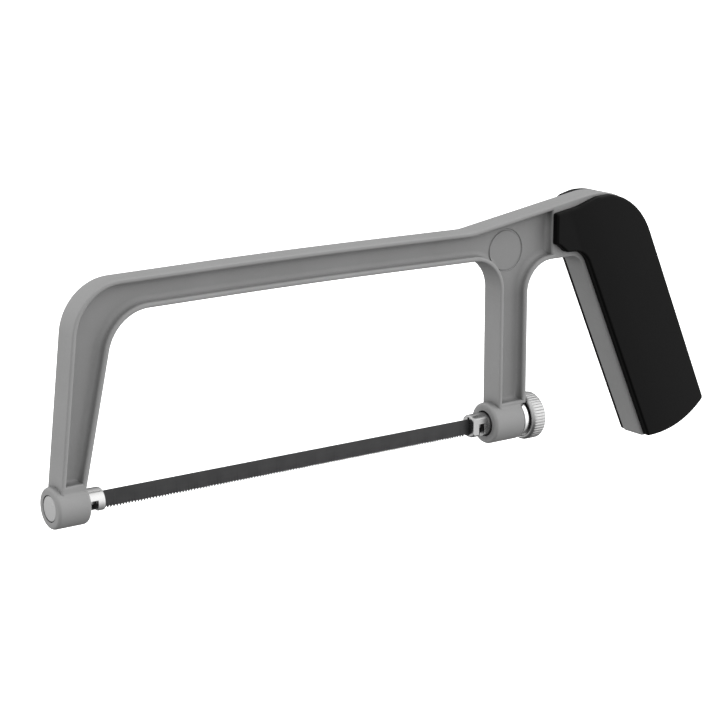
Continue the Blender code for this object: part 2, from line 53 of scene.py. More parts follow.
# ----------------------------------------------------------------------------
# The profile is laid out in millimetres from the axis of the front blade
# holder (x from the front blade pin, z from the axis); ORIGIN moves it to the
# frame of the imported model.
# ----------------------------------------------------------------------------
MM = 0.001
ORIGIN_X, ORIGIN_Z = 118.28, -14.57

FRAME_T, RIM_W, WEB_T = 9.0, 1.65, 2.4
FRONT_LEG_FOOT_X, FRONT_LEG_SLOPE = -12.05, 0.111
FRONT_LEG_IN_X, FRONT_LEG_IN_SLOPE = -4.0, 0.219
TOP_Z, TOP_CROWN_Z = 67.48, 68.35
BAR_LOW_Z, BAR_LOW_CROWN_Z = 57.68, 58.33
FRONT_R_OUT, FRONT_R_IN = 17.2, 14.5
REAR_LEG_X0, REAR_LEG_X1 = 156.1, 168.0
THROAT_R = 11.0
RISE_X, RISE_Z, RISE_SLOPE = 144.3, 67.63, 0.158
ARCH_Z, ARCH_R, GAP_R = 54.75, 10.5, 6.0
HANDLE_FRONT_X, HANDLE_FRONT_SLOPE = 215.45, -0.4525
HANDLE_REAR_X, HANDLE_REAR_SLOPE = 248.15, -0.44
CROWN_X, CROWN_Z, CROWN_R = 198.65, 50.5, 25.0
HEEL_X, HEEL_Z = 249.95, -4.1
TOE_X, TOE_Z = 222.05, -14.6
BUTT_R = 38.5
WEB_END_X = 178.4
FRONT_BOSS_R, REAR_BOSS_R = 6.5, 7.05
FRONT_BOSS_X, REAR_BOSS_X = (-13.4, -2.25), (153.1, 165.9)
HOLDER_R = 4.0
BLADE_T = 0.65
BLADE_X = (-1.75, 151.6)
BLADE_TOP_Z, BLADE_ROOT_Z, TOOTH_H, TOOTH_PITCH = 2.5, -2.57, 0.68, 1.065
TEETH_X = (5.2, 145.2)
PIN_R, PIN_LEN = 0.8, 3.6
PIN_FRONT_X, PIN_REAR_X = 0.30, 149.60
SCREWS = ((190.5, 66.0), (212.5, 36.5), (231.5, -2.0))
DISC_X, DISC_Z, DISC_R = 160.3, 59.4, 7.4


def place(x, y, z):
    return Vector(((x - ORIGIN_X) * MM, y * MM, (z - ORIGIN_Z) * MM))


# studio light: level at the horizon, how it grows along +X, +Y and +Z, and the
# two bright side panels (direction, strength)
AMBIENT = 0.363
GRADIENT = (-0.10, -0.32, 0.80)
PANELS = (((0.85, -0.50, 0.15), 1.6), ((-0.80, 0.58, 0.10), 1.2))


# ---------------------------------------------------------------- outlines
def rounded(corners, fine=1.0):
    out = []
    n = len(corners)
    for i in range(n):
        x, z, r = corners[i]
        p = Vector((x, z))
        a = Vector(corners[i - 1][:2]) - p
        b = Vector(corners[(i + 1) % n][:2]) - p
        if r <= 0.0:
            out.append(p)
            continue
        a.normalize()
        b.normalize()
        half = math.acos(max(-1.0, min(1.0, a.dot(b)))) / 2.0
        cut = r / math.tan(half)
        start, end = p + a * cut, p + b * cut
        centre = p + (a + b).normalized() * (r / math.sin(half))
        t0 = math.atan2(start.y - centre.y, start.x - centre.x)
        t1 = math.atan2(end.y - centre.y, end.x - centre.x)
        sweep = (t1 - t0 + math.pi) % (2.0 * math.pi) - math.pi
        step = (3.0 if r > 3.0 else 11.0) * fine
        if r > 200.0:
            step = 0.1
        k = max(2, int(math.ceil(abs(math.degrees(sweep)) / step)))
        for j in range(k + 1):
            t = t0 + sweep * j / k
            out.append(centre + Vector((math.cos(t), math.sin(t))) * r)
    return tidy(out)


def tidy(pts):
    out = [Vector(pts[0])]
    for p in pts[1:]:
        if (Vector(p) - out[-1]).length > 0.02:
            out.append(Vector(p))
    if (out[0] - out[-1]).length < 0.02:
        out.pop()
    return out


def arc(p0, p1, r, k):
    a, b = Vector(p0), Vector(p1)
    mid, half = (a + b) / 2.0, (b - a).length / 2.0
    d = (b - a).normalized()
    left = Vector((-d.y, d.x))
    centre = mid + left * math.sqrt(r * r - half * half)
    t0 = math.atan2(a.y - centre.y, a.x - centre.x)
    t1 = math.atan2(b.y - centre.y, b.x - centre.x)
    sweep = (t1 - t0 + math.pi) % (2.0 * math.pi) - math.pi
    return [centre + Vector((math.cos(t0 + sweep * j / k), math.sin(t0 + sweep * j / k))) * r
            for j in range(k + 1)]


def inset(pts, d):
    """Every point moved inward by d (outward when negative), mitred, so all
    the rings of one outline have the same number of points."""
    n = len(pts)
    area = sum(pts[i - 1].x * pts[i].y - pts[i].x * pts[i - 1].y for i in range(n))
    side = 1.0 if area > 0 else -1.0
    out = []
    for i in range(n):
        e0 = (pts[i] - pts[i - 1]).normalized()
        e1 = (pts[(i + 1) % n] - pts[i]).normalized()
        n0 = Vector((-e0.y, e0.x)) * side
        n1 = Vector((-e1.y, e1.x)) * side
        m = (n0 + n1).normalized()
        out.append(pts[i] + m * (d / max(0.35, m.dot(n0))))
    return out


def front_out(z):
    return FRONT_LEG_FOOT_X + FRONT_LEG_SLOPE * z


def front_in(z):
    return FRONT_LEG_IN_X + FRONT_LEG_IN_SLOPE * z


def rise(x):
    return RISE_Z + RISE_SLOPE * (x - RISE_X)


def handle_front(z):
    return HANDLE_FRONT_X + HANDLE_FRONT_SLOPE * z


def crown_corner():
    s, t = RISE_SLOPE, HANDLE_REAR_SLOPE
    x = (HANDLE_REAR_X + t * (RISE_Z - s * RISE_X)) / (1.0 - t * s)
    return x, rise(x)


def arm_corners(foot_z, end=None):
    c = [(front_out(foot_z), foot_z, 0.0),
         (front_out(TOP_Z), TOP_Z, FRONT_R_OUT),
         (72.0, TOP_CROWN_Z, 3000.0),
         (RISE_X, RISE_Z, 22.0)]
    if end is not None:
        c += [(end, rise(end), 0.0), (end, ARCH_Z, 0.0)]
    else:
        cx, cz = crown_corner()
        butt = arc((TOE_X, TOE_Z), (HEEL_X, HEEL_Z), BUTT_R, 14)
        c += [(cx, cz, CROWN_R), (HEEL_X, HEEL_Z, 1.2)]
        c += [(p.x, p.y, 0.0) for p in reversed(butt[1:-1])]
        c += [(TOE_X, TOE_Z, 2.2), (handle_front(ARCH_Z), ARCH_Z, GAP_R)]
    c += [(REAR_LEG_X1, ARCH_Z, ARCH_R),
          (REAR_LEG_X1, 30.0, 0.0),
          (REAR_LEG_X1, 13.0, 0.0),
          (REAR_LEG_X1 + 0.1, foot_z, 0.0),
          (REAR_LEG_X0, foot_z, 0.0),
          (REAR_LEG_X0, BAR_LOW_Z - 0.25, THROAT_R),
          (78.0, BAR_LOW_CROWN_Z, 3000.0),
          (front_in(BAR_LOW_Z), BAR_LOW_Z, FRONT_R_IN),
          (front_in(foot_z), foot_z, 0.0)]
    return c


def grip_outline(proud):
    front = 0.9 if proud > 0.0 else 1.42
    r = CROWN_R - 0.1 + proud
    c = [(WEB_END_X + 0.1, 60.2, 0.7),
         (180.1, 59.5, 0.9),
         (183.3, 56.95, 1.6),
         (handle_front(56.75) + front, 56.75, GAP_R + 1.6)]
    butt = arc((TOE_X + front - 0.05, TOE_Z + 0.25), (HEEL_X + 0.3, HEEL_Z), BUTT_R, 14)
    c += [(butt[0].x, butt[0].y, 1.0)]
    c += [(p.x, p.y, 0.0) for p in butt[1:-1]]
    c += [(butt[-1].x, butt[-1].y, 1.3)]
    lean = math.atan(-HANDLE_REAR_SLOPE)
    top = 97.0 if proud > 0.0 else 80.0
    k = 26
    for j in range(k + 1):
        t = lean + (math.radians(top) - lean) * j / k
        c.append((CROWN_X + r * math.cos(t), CROWN_Z + r * math.sin(t), 0.0))
    if proud > 0.0:
        c += [(191.0, 74.6, 2.0), (186.8, 72.0, 3.0)]
    else:
        c += [(197.0, 74.75, 6.0), (188.5, 72.2, 8.0)]
    c += [(WEB_END_X + 0.1, 70.55, 0.8)]
    return rounded(c)


# ---------------------------------------------------------------- mesh helpers
def new_object(name, bm):
    me = bpy.data.meshes.new(name)
    bmesh.ops.recalc_face_normals(bm, faces=bm.faces)
    bm.to_mesh(me)
    bm.free()
    ob = bpy.data.objects.new(name, me)
    bpy.context.scene.collection.objects.link(ob)
    return ob


def loft(name, rings):
    """A closed solid through rings [(outline, y)], with flat ends."""
    bm = bmesh.new()
    rows = []
    for pts, y in rings:
        rows.append([bm.verts.new(place(p.x, y, p.y)) for p in pts])
    for a, b in zip(rows[:-1], rows[1:]):
        n = len(a)
        for i in range(n):
            j = (i + 1) % n
            bm.faces.new((a[i], a[j], b[j], b[i]))
    bm.faces.new(list(reversed(rows[0])))
    bm.faces.new(rows[-1])
    return new_object(name, bm)


def lathe_x(name, profile, seg=96, wave=None):
    """A solid turned about the X axis. profile is [(x, r)], the ends on the
    axis; wave(angle, x, r) gives a changed radius."""
    bm = bmesh.new()
    rows = []
    for x, r in profile:
        if r <= 1e-6:
            rows.append(bm.verts.new(place(x, 0.0, 0.0)))
            continue
        row = []
        for i in range(seg):
            t = 2.0 * math.pi * i / seg
            rr = wave(t, x, r) if wave else r
            row.append(bm.verts.new(place(x, rr * math.cos(t), rr * math.sin(t))))
        rows.append(row)
    for a, b in zip(rows[:-1], rows[1:]):
        for i in range(seg):
            j = (i + 1) % seg
            if isinstance(a, list) and isinstance(b, list):
                bm.faces.new((a[i], a[j], b[j], b[i]))
            elif isinstance(b, list):
                bm.faces.new((a, b[j], b[i]))
            else:
                bm.faces.new((a[i], a[j], b))
    return new_object(name, bm)


def lathe_y(name, x, z, profile, seg=64):
    """A solid turned about a line along Y through (x, z); profile [(y, r)]."""
    bm = bmesh.new()
    rows = []
    for y, r in profile:
        if r <= 1e-6:
            rows.append(bm.verts.new(place(x, y, z)))
            continue
        rows.append([bm.verts.new(place(x + r * math.cos(2 * math.pi * i / seg), y,
                                        z + r * math.sin(2 * math.pi * i / seg))) for i in range(seg)])
    for a, b in zip(rows[:-1], rows[1:]):
        for i in range(seg):
            j = (i + 1) % seg
            if isinstance(a, list) and isinstance(b, list):
                bm.faces.new((a[i], a[j], b[j], b[i]))
            elif isinstance(b, list):
                bm.faces.new((a, b[j], b[i]))
            else:
                bm.faces.new((a[i], a[j], b))
    return new_object(name, bm)


def torus_y(name, x, z, y, major, minor, seg=96, rings=14):
    bm = bmesh.new()
    grid = []
    for i in range(seg):
        t = 2 * math.pi * i / seg
        row = []
        for j in range(rings):
            s = 2 * math.pi * j / rings
            r = major + minor * math.cos(s)
            row.append(bm.verts.new(place(x + r * math.cos(t), y + minor * math.sin(s), z + r * math.sin(t))))
        grid.append(row)
    for i in range(seg):
        for j in range(rings):
            bm.faces.new((grid[i][j], grid[(i + 1) % seg][j], grid[(i + 1) % seg][(j + 1) % rings], grid[i][(j + 1) % rings]))
    return new_object(name, bm)


def box(name, x, y, z):
    bm = bmesh.new()
    bmesh.ops.create_cube(bm, size=1.0)
    for v in bm.verts:
        v.co = place(x[0] if v.co.x < 0 else x[1], y[0] if v.co.y < 0 else y[1], z[0] if v.co.z < 0 else z[1])
    return new_object(name, bm)


def apply(ob):
    bpy.context.view_layer.update()
    dg = bpy.context.evaluated_depsgraph_get()
    me = bpy.data.meshes.new_from_object(ob.evaluated_get(dg))
    ob.modifiers.clear()
    old = ob.data
    ob.data = me
    me.name = ob.name
    if old.users == 0:
        bpy.data.meshes.remove(old)
    return ob


def boolean(ob, others, op="DIFFERENCE"):
    """Cuts or joins, applies it and removes the cutters."""
    for o in others:
        mod = ob.modifiers.new("b", "BOOLEAN")
        mod.operation = op
        mod.solver = "EXACT"
        mod.object = o
    apply(ob)
    for o in others:
        me = o.data
        bpy.data.objects.remove(o, do_unlink=True)
        bpy.data.meshes.remove(me)
    return ob


def soften(ob, width, segments=3, angle=35.0):
    mod = ob.modifiers.new("bevel", "BEVEL")
    mod.width = width * MM
    mod.segments = segments
    mod.limit_method = "ANGLE"
    mod.angle_limit = math.radians(angle)
    mod.use_clamp_overlap = True
    mod.harden_normals = False
    apply(ob)
    return ob


def shade(ob, angle=32.0, weighted=True):
    bm = bmesh.new()
    bm.from_mesh(ob.data)
    bmesh.ops.remove_doubles(bm, verts=bm.verts, dist=2e-6)
    bmesh.ops.dissolve_degenerate(bm, edges=bm.edges, dist=1e-6)
    bm.to_mesh(ob.data)
    bm.free()
    ob.data.shade_smooth()
    ob.data.set_sharp_from_angle(angle=math.radians(angle))
    if weighted:
        mod = ob.modifiers.new("weighted", "WEIGHTED_NORMAL")
        mod.keep_sharp = True
        mod.weight = 50
    return ob


def finish_piece(ob, mat, body, slot, *nodes):
    # finer arcs than the solids' reach a few hundredths further: keep them in
    for v in ob.data.vertices:
        for k in range(3):
            v.co[k] = min(max(v.co[k], cad_low[k] + 2e-6), cad_high[k] - 2e-6)
    ob.data.materials.clear()
    ob.data.materials.append(mat)
    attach(ob, body)
    if nodes:
        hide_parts(*nodes)
    return ob


# ---------------------------------------------------------------- materials
class Net:
    """Small helper to wire a material's nodes."""

    def __init__(self, name):
        self.mat = bpy.data.materials.new(name)
        self.mat.use_nodes = True
        self.tree = self.mat.node_tree
        self.bsdf = self.tree.nodes["Principled BSDF"]
        self.pos = self.tree.nodes.new("ShaderNodeNewGeometry") if False else self.tree.nodes.new("ShaderNodeTexCoord")

    def node(self, kind, **kw):
        n = self.tree.nodes.new(kind)
        for k, v in kw.items():
            if k in n.inputs.keys():
                n.inputs[k].default_value = v
            else:
                setattr(n, k, v)
        return n

    def link(self, a, b):
        self.tree.links.new(a, b)

    def mapped(self, scale=(1, 1, 1)):
        m = self.node("ShaderNodeMapping")
        m.inputs["Scale"].default_value = scale
        self.link(self.pos.outputs["Object"], m.inputs["Vector"])
        return m.outputs["Vector"]

    def noise(self, vec, scale, detail=4.0, rough=0.55):
        n = self.node("ShaderNodeTexNoise")
        n.inputs["Scale"].default_value = scale
        n.inputs["Detail"].default_value = detail
        n.inputs["Roughness"].default_value = rough
        self.link(vec, n.inputs["Vector"])
        return n.outputs["Fac"]

    def ramp(self, fac, stops):
        r = self.node("ShaderNodeValToRGB")
        el = r.color_ramp.elements
        while len(el) < len(stops):
            el.new(0.5)
        for e, (p, c) in zip(el, stops):
            e.position = p
            e.color = (c[0], c[1], c[2], 1.0)
        self.link(fac, r.inputs["Fac"])
        return r.outputs["Color"]

    def range(self, fac, a, b, lo, hi):
        r = self.node("ShaderNodeMapRange")
        r.inputs["From Min"].default_value = a
        r.inputs["From Max"].default_value = b
        r.inputs["To Min"].default_value = lo
        r.inputs["To Max"].default_value = hi
        self.link(fac, r.inputs["Value"])
        return r.outputs["Result"]

    def mix(self, fac, a, b, blend="MIX"):
        m = self.node("ShaderNodeMix", data_type="RGBA", blend_type=blend)
        if hasattr(fac, "links"):
            self.link(fac, m.inputs[0])
        else:
            m.inputs[0].default_value = fac
        for v, s in ((a, m.inputs[6]), (b, m.inputs[7])):
            if hasattr(v, "links"):
                self.link(v, s)
            else:
                s.default_value = (v[0], v[1], v[2], 1.0)
        return m.outputs[2]

    def bump(self, height, strength, distance, normal=None):
        b = self.node("ShaderNodeBump")
        b.inputs["Strength"].default_value = strength
        b.inputs["Distance"].default_value = distance
        self.link(height, b.inputs["Height"])
        if normal is not None:
            self.link(normal, b.inputs["Normal"])
        return b.outputs["Normal"]


def set_shader(b, **kw):
    names = {"spec": "Specular IOR Level", "coat": "Coat Weight", "coat_rough": "Coat Roughness",
             "rough": "Roughness", "metal": "Metallic", "aniso": "Anisotropic"}
    for k, v in kw.items():
        b.inputs[names[k]].default_value = v


def cast_enamel():
    """Satin grey enamel over a casting: faint mottling, a fine orange peel, slightly paler, more worn edges, and
    painted shade in its recesses."""
    n = Net("cast_enamel")
    v = n.mapped()
    cloud = n.noise(v, 55.0, 3.0)
    fine = n.noise(v, 900.0, 3.0, 0.6)
    speck = n.noise(v, 2600.0, 2.0, 0.5)
    base = n.ramp(cloud, [(0.30, (0.243, 0.243, 0.242)), (0.52, (0.253, 0.253, 0.253)), (0.72, (0.263, 0.263, 0.263))])
    base = n.mix(n.range(speck, 0.60, 0.75, 0.0, 0.22), base, (0.36, 0.36, 0.36))
    geo = n.node("ShaderNodeNewGeometry")
    worn = n.range(geo.outputs["Pointiness"], 0.52, 0.58, 0.0, 0.06)
    base = n.mix(worn, base, (0.36, 0.36, 0.358))
    # painted shade: ambient occlusion darkens the enamel's colour in the recesses of the casting
    ao_shade_node = n.node("ShaderNodeAmbientOcclusion")
    ao_shade_node.samples = 8
    ao_shade_node.inputs["Distance"].default_value = 0.0055
    painted_shade = n.range(ao_shade_node.outputs["AO"], 0.45, 0.95, 0.52, 1.0)
    # the painted shade goes only on the walls of a recess, not on its floor or the rim's face
    facing = n.node("ShaderNodeSeparateXYZ")
    n.link(n.pos.outputs["Normal"], facing.inputs["Vector"])
    side = n.node("ShaderNodeMath", operation="ABSOLUTE")
    n.link(facing.outputs["Y"], side.inputs[0])
    wall = n.range(side.outputs[0], 0.55, 0.98, 1.0, 0.08)
    painted_shade = n.mix(wall, (1.0, 1.0, 1.0), painted_shade)
    # painted shade: the floor of the recess is painted a little darker than the rim's face
    where = n.node("ShaderNodeSeparateXYZ")
    n.link(n.pos.outputs["Object"], where.inputs["Vector"])
    off = n.node("ShaderNodeMath", operation="ABSOLUTE")
    n.link(where.outputs["Y"], off.inputs[0])
    painted_floor_shade = n.range(off.outputs[0], 0.0014, 0.0030, 0.855, 1.0)
    flat = n.range(side.outputs[0], 0.70, 0.97, 0.0, 1.0)
    painted_shade = n.mix(1.0, painted_shade, n.mix(flat, (1.0, 1.0, 1.0), painted_floor_shade), "MULTIPLY")
    # multiply the painted shade into the enamel's colour
    painted_shade_mix = n.node("ShaderNodeMix", data_type="RGBA", blend_type="MULTIPLY")
    painted_shade_mix.inputs[0].default_value = 1.0
    n.link(base, painted_shade_mix.inputs[6])
    n.link(painted_shade, painted_shade_mix.inputs[7])
    n.link(painted_shade_mix.outputs[2], n.bsdf.inputs["Base Color"])
    n.link(n.range(fine, 0.3, 0.7, 0.44, 0.56), n.bsdf.inputs["Roughness"])
    low = n.bump(cloud, 0.10, 0.0006)
    n.link(n.bump(fine, 0.10, 0.00012, low), n.bsdf.inputs["Normal"])
    set_shader(n.bsdf, spec=0.28, metal=0.0)
    return n.mat


def black_plastic():
    """Moulded black plastic: a fine spark-eroded grain, a little dust and
    handling shine."""
    n = Net("black_moulded_plastic")
    v = n.mapped()
    cloud = n.noise(v, 40.0, 3.0)
    grain = n.noise(v, 3200.0, 3.0, 0.6)
    vor = n.node("ShaderNodeTexVoronoi")
    vor.inputs["Scale"].default_value = 2400.0
    n.link(v, vor.inputs["Vector"])
    base = n.ramp(cloud, [(0.3, (0.0018, 0.0018, 0.0018)), (0.7, (0.0028, 0.0028, 0.0028))])
    base = n.mix(n.range(grain, 0.62, 0.78, 0.0, 0.18), base, (0.02, 0.02, 0.02))
    n.link(base, n.bsdf.inputs["Base Color"])
    n.link(n.range(cloud, 0.3, 0.7, 0.40, 0.50), n.bsdf.inputs["Roughness"])
    first = n.bump(grain, 0.18, 0.00006)
    n.link(n.bump(vor.outputs["Distance"], 0.12, 0.00005, first), n.bsdf.inputs["Normal"])
    set_shader(n.bsdf, spec=0.066, metal=0.0)
    return n.mat


def turned_steel(name, tone, rough, axis="X", streak=0.12, face=None):
    """Turned steel: fine tool marks round the axis, faint blotches."""
    n = Net(name)
    stretch = {"X": (1.0, 0.02, 0.02), "Y": (0.02, 1.0, 0.02)}[axis]
    v = n.mapped(stretch)
    marks = n.noise(v, 9000.0, 3.0, 0.65)
    plain = n.mapped()
    cloud = n.noise(plain, 260.0, 4.0)
    base = n.ramp(cloud, [(0.3, tuple(0.90 * c for c in tone)), (0.7, tone)])
    base = n.mix(n.range(marks, 0.35, 0.65, 0.0, streak), base, tuple(0.72 * c for c in tone))
    polish = n.range(cloud, 0.3, 0.7, rough - 0.04, rough + 0.07)
    set_shader(n.bsdf, metal=1.0)
    if face is not None:
        # the faced end, up to this x, is duller than the turned side
        sep = n.node("ShaderNodeSeparateXYZ")
        n.link(n.pos.outputs["Object"], sep.inputs["Vector"])
        x = (face - ORIGIN_X) * MM
        dull = n.range(sep.outputs["X"], x, x + 0.0001, 1.0, 0.0)
        base = n.mix(dull, base, (0.40, 0.40, 0.40))
        n.link(n.range(dull, 0.0, 1.0, 1.0, 0.15), n.bsdf.inputs["Metallic"])
    n.link(base, n.bsdf.inputs["Base Color"])
    n.link(polish, n.bsdf.inputs["Roughness"])
    n.link(n.bump(marks, 0.12, 0.00002), n.bsdf.inputs["Normal"])
    return n.mat


def blade_steel():
    """Blackened blade stock: rolling lines along its length, faint mottling,
    brighter where the teeth were cut."""
    n = Net("blackened_blade_steel")
    along = n.mapped((0.03, 1.0, 1.0))
    lines = n.noise(along, 5200.0, 3.0, 0.6)
    cloud = n.noise(n.mapped(), 160.0, 4.0)
    base = n.ramp(cloud, [(0.3, (0.026, 0.026, 0.027)), (0.7, (0.036, 0.036, 0.037))])
    base = n.mix(n.range(lines, 0.5, 0.75, 0.0, 0.30), base, (0.055, 0.055, 0.056))
    sep = n.node("ShaderNodeSeparateXYZ")
    n.link(n.pos.outputs["Object"], sep.inputs["Vector"])
    tip = (BLADE_ROOT_Z - ORIGIN_Z) * MM
    near_teeth = n.range(sep.outputs["Z"], tip - 0.0006, tip + 0.0002, 0.35, 0.0)
    base = n.mix(near_teeth, base, (0.09, 0.09, 0.09))
    n.link(base, n.bsdf.inputs["Base Color"])
    n.link(n.range(lines, 0.3, 0.7, 0.36, 0.48), n.bsdf.inputs["Roughness"])
    n.link(n.bump(lines, 0.2, 0.00002), n.bsdf.inputs["Normal"])
    set_shader(n.bsdf, metal=0.25, spec=0.3)
    return n.mat


ENAMEL = cast_enamel()
PLASTIC = black_plastic()
STEEL = turned_steel("holder_steel", (0.40, 0.40, 0.399), 0.26)
PEG_STEEL = turned_steel("front_holder_steel", (0.50, 0.50, 0.499), 0.22, face=-13.2)
NUT_STEEL = turned_steel("nut_steel", (0.46, 0.46, 0.459), 0.36, streak=0.12)
POLISHED = turned_steel("polished_washer_steel", (0.82, 0.82, 0.818), 0.14, streak=0.08)
SCREW_STEEL = turned_steel("screw_steel", (0.55, 0.55, 0.545), 0.30, axis="Y")
BLADE_MAT = blade_steel()

# ---------------------------------------------------------------- cast frame
H = FRAME_T / 2.0
EDGE = 0.6
outline = rounded(arm_corners(1.0))
rings = []
quarter = [math.radians(90.0 * i / 4) for i in range(5)]
for t in quarter:
    rings.append((inset(outline, EDGE * (1.0 - math.sin(t))), -(H - EDGE + EDGE * math.cos(t))))
for t in reversed(quarter):
    rings.append((inset(outline, EDGE * (1.0 - math.sin(t))), H - EDGE + EDGE * math.cos(t)))
body = loft("cast_frame", rings)

# recessed web: the pocket's rim is rolled over and its foot is filleted
ROLL, FILLET = 0.85, 1.85
pocket = tidy(inset(rounded(arm_corners(7.2 - RIM_W, WEB_END_X + RIM_W)), RIM_W))
cutters = []
for side in (-1.0, 1.0):
    profile = [(-ROLL, H + 2.0)]
    for i in range(6):
        t = math.radians(90.0 * i / 5)
        profile.append((-ROLL + ROLL * math.sin(t), H + 0.01 - ROLL + ROLL * math.cos(t)))
    for i in range(8):
        t = math.radians(90.0 * i / 7)
        profile.append((FILLET - FILLET * math.cos(t), WEB_T / 2.0 + FILLET - FILLET * math.sin(t)))
    cutters.append(loft("web_cut", [(inset(pocket, d), side * y) for d, y in profile]))
boolean(body, cutters)

# bosses, with rolled edges
def boss_profile(x0, x1, r, roll):
    pts = [(x0, 0.0)]
    for i in range(6):
        t = math.radians(90.0 * i / 5)
        pts.append((x0 + roll - roll * math.cos(t), r - roll + roll * math.sin(t)))
    for i in range(6):
        t = math.radians(90.0 * i / 5)
        pts.append((x1 - roll + roll * math.sin(t), r - roll + roll * math.cos(t)))
    pts.append((x1, 0.0))
    return pts


front_boss = lathe_x("front_boss", boss_profile(FRONT_BOSS_X[0], FRONT_BOSS_X[1], FRONT_BOSS_R, 1.0), 112)
rear_boss = lathe_x("rear_boss", boss_profile(REAR_BOSS_X[0], REAR_BOSS_X[1], REAR_BOSS_R, 1.0), 112)


def web_to_boss(name, x0, x1, side, boss_r):
    """The fillet where a leg's side runs out on to its boss."""
    R, r = boss_r - 0.03, 2.2
    y0 = H - 0.03
    # centre of the fillet circle: r outside the leg's side, R + r from the axis
    cy = y0 + r
    cz = math.sqrt((R + r) ** 2 - cy ** 2)
    a = math.atan2(cz, cy)
    foot = (R * math.cos(a), R * math.sin(a))
    t0, t1 = math.pi, math.pi + a
    section = [(y0 - 0.9, cz), (y0, cz)]
    for i in range(1, 8):
        t = t0 + (t1 - t0) * i / 7
        section.append((cy + r * math.cos(t), cz + r * math.sin(t)))
    section += [(foot[0] * 0.86, foot[1] * 0.86), (y0 - 0.9, foot[1] * 0.80)]
    bm = bmesh.new()
    ends = []
    for x, pull in ((x0, 0.0), (x0 + 0.5, 1.0), (x1 - 0.5, 1.0), (x1, 0.0)):
        row = []
        for y, z in section:
            yy = y if pull else y0 - 0.9 + (y - y0 + 0.9) * 0.55
            row.append(bm.verts.new(place(x, side * yy, z)))
        ends.append(row)
    for a_, b_ in zip(ends[:-1], ends[1:]):
        n = len(a_)
        for i in range(n):
            j = (i + 1) % n
            bm.faces.new((a_[i], a_[j], b_[j], b_[i]))
    bm.faces.new(list(reversed(ends[0])))
    bm.faces.new(ends[-1])
    return new_object(name, bm)


fillets = []
for side in (-1.0, 1.0):
    fillets.append(web_to_boss("front_fillet", -11.3, -3.35, side, FRONT_BOSS_R))
    fillets.append(web_to_boss("rear_fillet", 156.45, 165.6, side, REAR_BOSS_R))
boolean(body, [front_boss, rear_boss] + fillets, "UNION")

# round pad at the junction: a rolled groove round a flush disc
grooves = [torus_y("groove", DISC_X, DISC_Z, s * (WEB_T / 2.0 + 0.08), DISC_R - 0.35, 0.42) for s in (-1.0, 1.0)]
# bores with broken edges, and the washer's turned seat
bores = [
    lathe_x("front_bore", [(-16.0, 0.0), (-16.0, 4.6), (-13.15, 4.15), (0.0, 4.15), (0.0, 0.0)], 96),
    lathe_x("rear_bore", [(150.0, 0.0), (150.0, 4.75), (153.35, 4.42), (169.0, 4.42), (169.0, 0.0)], 96),
    lathe_x("seat", [(165.9, 0.0), (165.9, 7.55), (171.5, 7.7), (171.5, 0.0)], 112)]
boolean(body, grooves + bores)
shade(body, 30.0)
finish_piece(body, ENAMEL, "frame", "cast_frame", "frame")

# ---------------------------------------------------------------- front holder
def bar_profile(x0, x1, r, roll0, roll1):
    pts = [(x0, 0.0)]
    for i in range(5):
        t = math.radians(90.0 * i / 4)
        pts.append((x0 + roll0 - roll0 * math.cos(t), r - roll0 + roll0 * math.sin(t)))
    for i in range(5):
        t = math.radians(90.0 * i / 4)
        pts.append((x1 - roll1 + roll1 * math.sin(t), r - roll1 + roll1 * math.cos(t)))
    pts.append((x1, 0.0))
    return pts


peg = lathe_x("front_holder_bar", bar_profile(-13.3, 3.95, HOLDER_R - 0.04, 0.3, 0.75), 96)
boolean(peg, [box("s", (-3.9, 6.0), (-0.5, 0.5), (-6.0, 2.8)),
              box("u", (-2.35, 6.0), (-6.0, 6.0), (-6.0, -2.5)),
              box("n", (-2.25, 1.22), (-6.0, 6.0), (-6.0, 0.95))])
soften(peg, 0.10, 2, 40.0)
shade(peg)
finish_piece(peg, PEG_STEEL, "frame", "holder_steel", "front_holder")

# ---------------------------------------------------------------- rear holder
bolt = lathe_x("tension_bolt_bar", bar_profile(146.3, 156.1, HOLDER_R - 0.02, 0.7, 0.3)[:-1] +
               [(156.1, 2.45), (173.7, 2.45), (174.1, 2.1), (174.1, 0.0)], 96)
boolean(bolt, [box("f", (144.0, 152.2), (2.9, 6.0), (-6.0, 6.0)),
               box("g", (144.0, 152.2), (-6.0, -2.9), (-6.0, 6.0)),
               box("s", (144.0, 153.3), (-0.5, 0.5), (-6.0, 3.15)),
               box("n", (148.72, 151.0), (-6.0, 6.0), (-6.0, 0.90))])
soften(bolt, 0.14, 2, 30.0)
shade(bolt)
finish_piece(bolt, STEEL, "bolt", "holder_steel", "tension_bolt")

# ---------------------------------------------------------------- washer
def ring_x(name, x0, x1, r_out, r_in, roll, seg=112):
    bm = bmesh.new()
    prof = []
    for i in range(5):
        t = math.radians(90.0 * i / 4)
        prof.append((x0 + roll - roll * math.cos(t), r_out - roll + roll * math.sin(t)))
    for i in range(5):
        t = math.radians(90.0 * i / 4)
        prof.append((x1 - roll + roll * math.sin(t), r_out - roll + roll * math.cos(t)))
    prof += [(x1, r_in + 0.15), (x1 - 0.15, r_in), (x0 + 0.15, r_in), (x0, r_in + 0.15)]
    rows = []
    for x, r in prof:
        rows.append([bm.verts.new(place(x, r * math.cos(2 * math.pi * i / seg), r * math.sin(2 * math.pi * i / seg)))
                     for i in range(seg)])
    m = len(rows)
    for k in range(m):
        a, b = rows[k], rows[(k + 1) % m]
        for i in range(seg):
            j = (i + 1) % seg
            bm.faces.new((a[i], a[j], b[j], b[i]))
    return new_object(name, bm)


washer = ring_x("thrust_washer_ring", 166.2, 168.2, 6.3, 2.75, 0.35)
shade(washer)
finish_piece(washer, POLISHED, "frame", "plated_steel", "thrust_washer")

# ---------------------------------------------------------------- knurled nut
TEETH = 44


